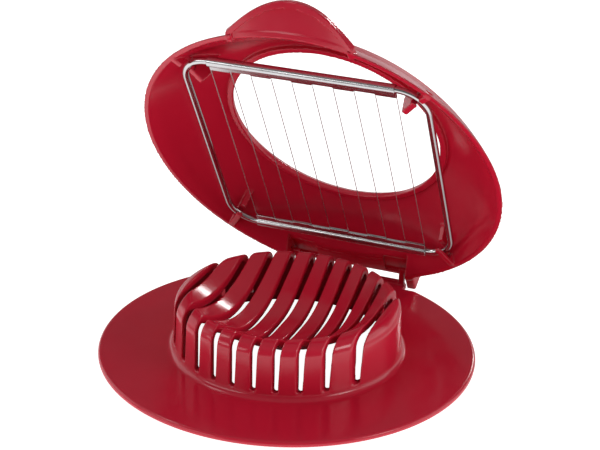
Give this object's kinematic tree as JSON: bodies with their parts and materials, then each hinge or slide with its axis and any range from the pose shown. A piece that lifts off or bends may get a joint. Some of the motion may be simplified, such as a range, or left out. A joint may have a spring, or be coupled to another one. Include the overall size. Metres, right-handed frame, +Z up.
{
  "type": "egg slicer",
  "caption": "Round table-top egg slicer: a plate with a slotted egg cradle, and a hinged domed lid with a window that carries a steel frame of cutting wires.",
  "frame": {"origin": "middle of the bounding box of the open slicer, on the surface it stands on", "axes": "+Z up, +Y from the front of the plate to the hinge, +X to the right seen from the front"},
  "size_m": [0.1114, 0.1133, 0.1073],
  "materials": {
    "base_plastic": "glossy moulded plastic",
    "lid_plastic": "glossy moulded plastic, finely textured outside",
    "frame_steel": "bright drawn stainless rod",
    "rail_steel": "folded stainless sheet",
    "wire_steel": "fine drawn stainless wire"
  },
  "bodies": {
    "base": {"base": "base_plastic"},
    "lid": {"lid": "lid_plastic", "wire_frame": "frame_steel", "front_rail": "rail_steel", "rear_rail": "rail_steel", "cutting_wire_01": "wire_steel", "cutting_wire_02": "wire_steel", "cutting_wire_03": "wire_steel", "cutting_wire_04": "wire_steel", "cutting_wire_05": "wire_steel", "cutting_wire_06": "wire_steel", "cutting_wire_07": "wire_steel", "cutting_wire_08": "wire_steel", "cutting_wire_09": "wire_steel", "cutting_wire_10": "wire_steel"}
  },
  "joints": [
    {"name": "lid_hinge", "type": "hinge", "parent": "base", "child": "lid", "pos_m": [0, 0.052, 0.0067], "axis": [-1, 0, 0], "range_deg": [-58.8, 31.2]}
  ]
}
